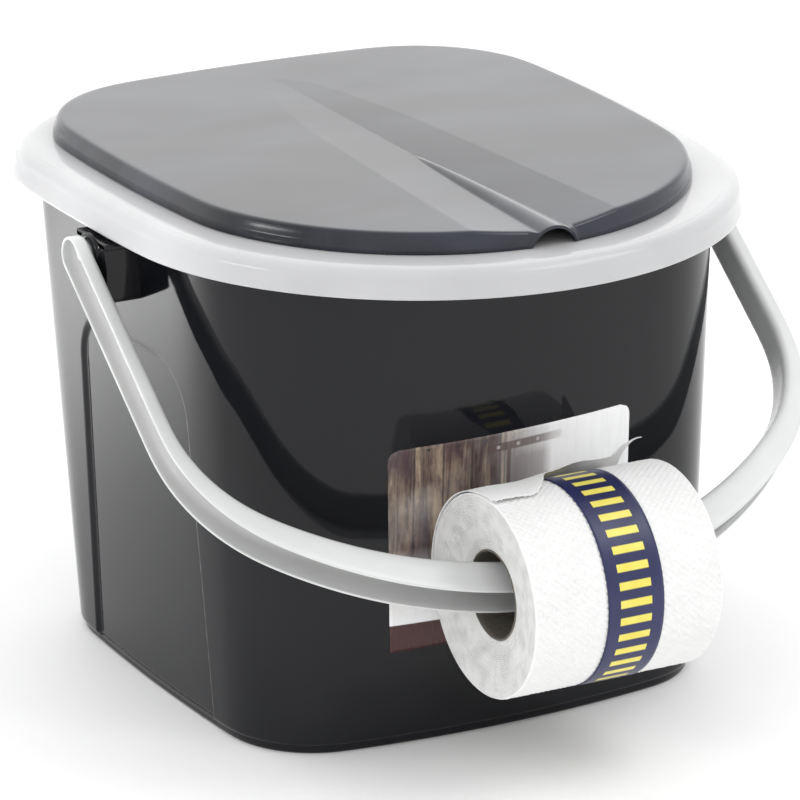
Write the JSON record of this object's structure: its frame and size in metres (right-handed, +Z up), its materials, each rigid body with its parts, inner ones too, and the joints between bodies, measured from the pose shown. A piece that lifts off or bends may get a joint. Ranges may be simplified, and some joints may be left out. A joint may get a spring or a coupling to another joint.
{
  "type": "portable camp toilet",
  "caption": "Portable bucket toilet with a seat ring, a lift-off lid and a swinging bail that doubles as a paper roll holder.",
  "frame": {"origin": "centre of the bucket's underside, on the floor", "axes": "+Z up, -Y towards the front with the label and the roll, +X to the right as seen from the front"},
  "size_m": [0.357, 0.4257, 0.2715],
  "materials": {
    "bucket": "high gloss",
    "seat": "gloss",
    "lid": "high gloss",
    "bail": "satin gloss",
    "core": "matt",
    "paper": "embossed, matt",
    "band": "coated",
    "label": "printed film"
  },
  "bodies": {
    "bucket_body": {"bucket": "bucket", "label": "label"},
    "seat_ring": {"seat": "seat"},
    "lid_cover": {"lid": "lid"},
    "bail_arm": {"bail": "bail"},
    "roll": {"roll_core": "core", "roll_paper": "paper", "roll_tail": "paper", "roll_band": "band"}
  },
  "joints": [
    {"name": "seat_lift", "type": "slide", "parent": "bucket_body", "child": "seat_ring", "axis": [0, 0, 1], "range_m": [0, 0.3]},
    {"name": "lid_lift", "type": "slide", "parent": "seat_ring", "child": "lid_cover", "axis": [0, 0, 1], "range_m": [0, 0.25]},
    {"name": "bail_swing", "type": "hinge", "parent": "bucket_body", "child": "bail_arm", "pos_m": [0, -0.004, 0.236], "axis": [-1, 0, 0], "range_deg": [0, 25]},
    {"name": "roll_spin", "type": "hinge", "parent": "bail_arm", "child": "roll", "pos_m": [0.004, -0.1872, 0.0965], "axis": [1, 0, 0], "continuous": true}
  ]
}
